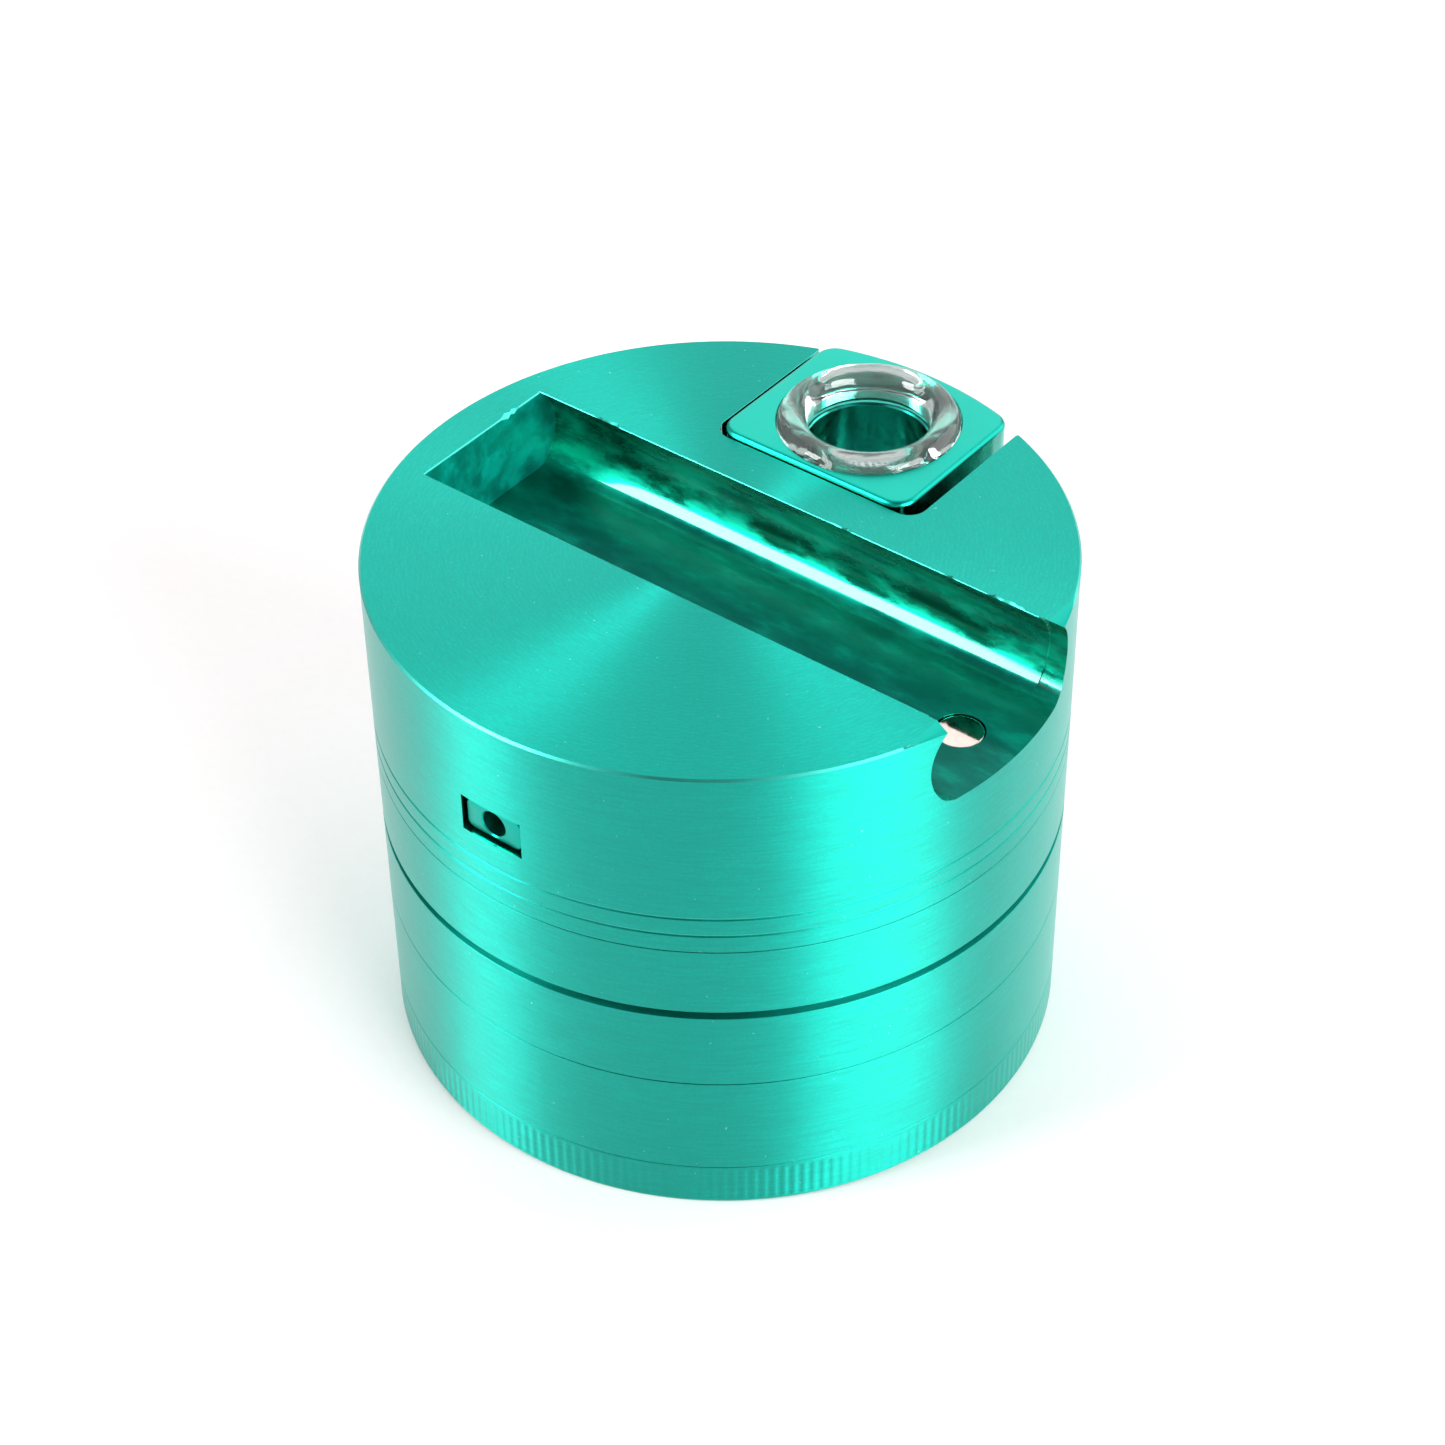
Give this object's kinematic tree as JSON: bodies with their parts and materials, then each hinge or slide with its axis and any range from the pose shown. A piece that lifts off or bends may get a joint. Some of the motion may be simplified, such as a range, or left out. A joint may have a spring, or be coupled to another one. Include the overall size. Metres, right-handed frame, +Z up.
{
  "type": "herb grinder",
  "caption": "Pocket herb grinder of screwed anodised sections, with a turning toothed lid, a lighter dock and a slide-out pipe with a glass bowl.",
  "frame": {"origin": "centre of the flat base, on the surface it stands on", "axes": "+Z up along the turning axis, +X along the lighter channel towards its open end, +Y towards the pipe's glass bowl"},
  "size_m": [0.063, 0.063, 0.0523],
  "materials": {
    "anodised": "turned and brushed, anodised teal green",
    "screen_steel": "plain stainless",
    "magnet_plate": "bright nickel plate",
    "glide_plastic": "matt nylon",
    "seal_rubber": "clear silicone",
    "bowl_glass": "clear, fire polished"
  },
  "bodies": {
    "pollen_catcher": {"pollen_catcher": "anodised"},
    "sieve_section": {"sieve_chamber": "anodised", "sieve_screen": "screen_steel", "screen_snap_ring": "screen_steel"},
    "grinding_section": {"grinding_chamber": "anodised", "chamber_magnet": "magnet_plate"},
    "glide_ring": {"glide_ring": "glide_plastic"},
    "tooth_lid": {"tooth_lid": "anodised", "lid_magnet": "magnet_plate"},
    "dock": {"dock_body": "anodised", "lighter_magnet": "magnet_plate", "slot_magnet_left": "magnet_plate", "slot_magnet_right": "magnet_plate"},
    "pipe": {"pipe_block": "anodised", "pipe_magnet_left": "magnet_plate", "pipe_magnet_right": "magnet_plate", "pipe_stem": "anodised", "bowl_seal": "seal_rubber", "bowl_screen": "screen_steel"},
    "bowl": {"glass_bowl": "bowl_glass"}
  },
  "joints": [
    {"name": "sieve_unscrew", "type": "slide", "parent": "pollen_catcher", "child": "sieve_section", "axis": [0, 0, 1], "range_m": [0, 0.02]},
    {"name": "chamber_unscrew", "type": "slide", "parent": "sieve_section", "child": "grinding_section", "axis": [0, 0, 1], "range_m": [0, 0.02]},
    {"name": "lid_spin", "type": "hinge", "parent": "grinding_section", "child": "glide_ring", "pos_m": [0, 0, 0.02385], "axis": [0, 0, 1], "continuous": true},
    {"name": "lid_lift", "type": "slide", "parent": "glide_ring", "child": "tooth_lid", "axis": [0, 0, 1], "range_m": [0, 0.025]},
    {"name": "dock_unscrew", "type": "slide", "parent": "tooth_lid", "child": "dock", "axis": [0, 0, 1], "range_m": [0, 0.02]},
    {"name": "pipe_slide", "type": "slide", "parent": "dock", "child": "pipe", "axis": [0, 1, 0], "range_m": [0, 0.066]},
    {"name": "bowl_lift", "type": "slide", "parent": "pipe", "child": "bowl", "axis": [0, 0, 1], "range_m": [0, 0.015]}
  ]
}
